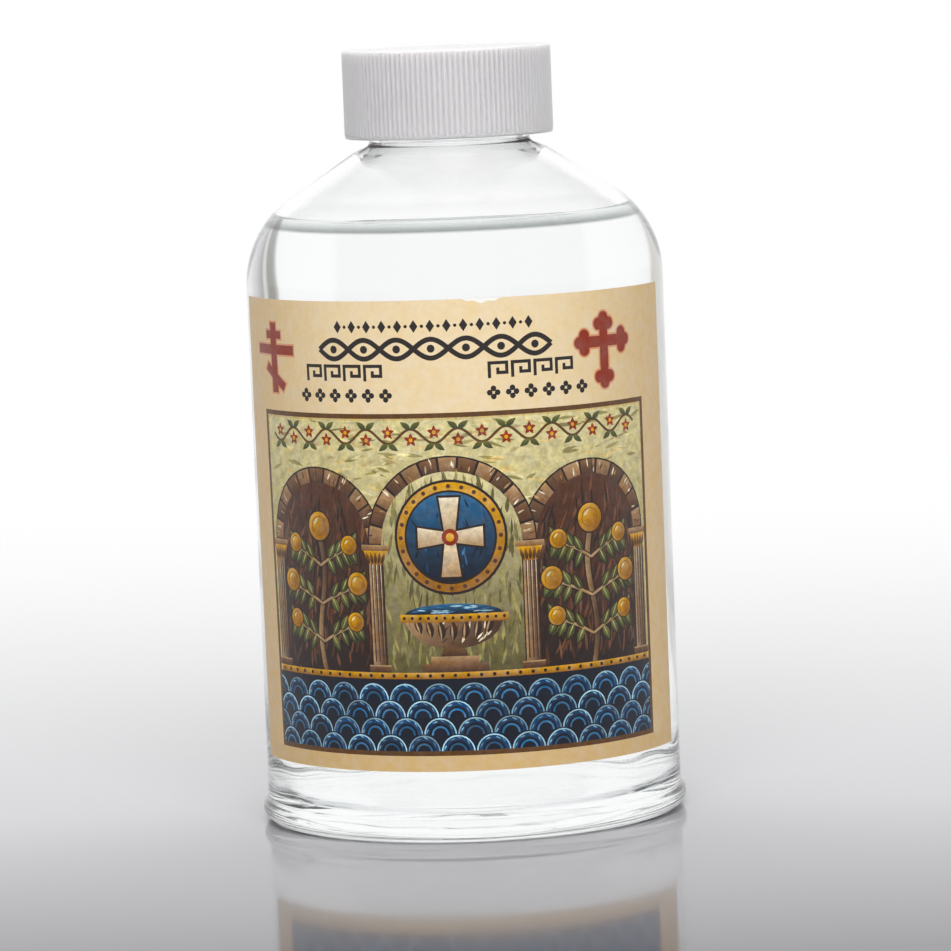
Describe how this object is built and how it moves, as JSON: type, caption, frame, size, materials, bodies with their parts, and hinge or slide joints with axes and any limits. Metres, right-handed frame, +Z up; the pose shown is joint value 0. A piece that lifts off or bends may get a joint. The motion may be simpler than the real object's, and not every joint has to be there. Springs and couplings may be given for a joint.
{
  "type": "holy water bottle",
  "caption": "Round clear glass bottle filled with water, with a ribbed white screw cap over a sealing liner and a printed paper wrap label.",
  "frame": {"origin": "on the bottle's axis, in the plane of the ring that it stands on", "axes": "+Z up along the bottle's axis, -Y towards the middle of the label"},
  "size_m": [0.082, 0.082, 0.1474],
  "materials": {
    "clear_glass": "polished",
    "white_cap": "satin",
    "liner_foam": "matte",
    "label_paper": "satin",
    "water": "polished"
  },
  "bodies": {
    "bottle": {"bottle": "clear_glass", "label": "label_paper", "water": "water"},
    "liner": {"cap_liner": "liner_foam"},
    "cap": {"cap": "white_cap"}
  },
  "joints": [
    {"name": "cap_lift", "type": "slide", "parent": "bottle", "child": "liner", "axis": [0, 0, 1], "range_m": [0, 0.02117]},
    {"name": "cap_turn", "type": "hinge", "parent": "liner", "child": "cap", "pos_m": [0, 0, 0.1458], "axis": [0, 0, 1], "range_deg": [0, 1800]}
  ],
  "couplings": [
    {"joint": "cap_lift", "follows": "cap_turn", "m_per_rad": 0.00067373}
  ]
}
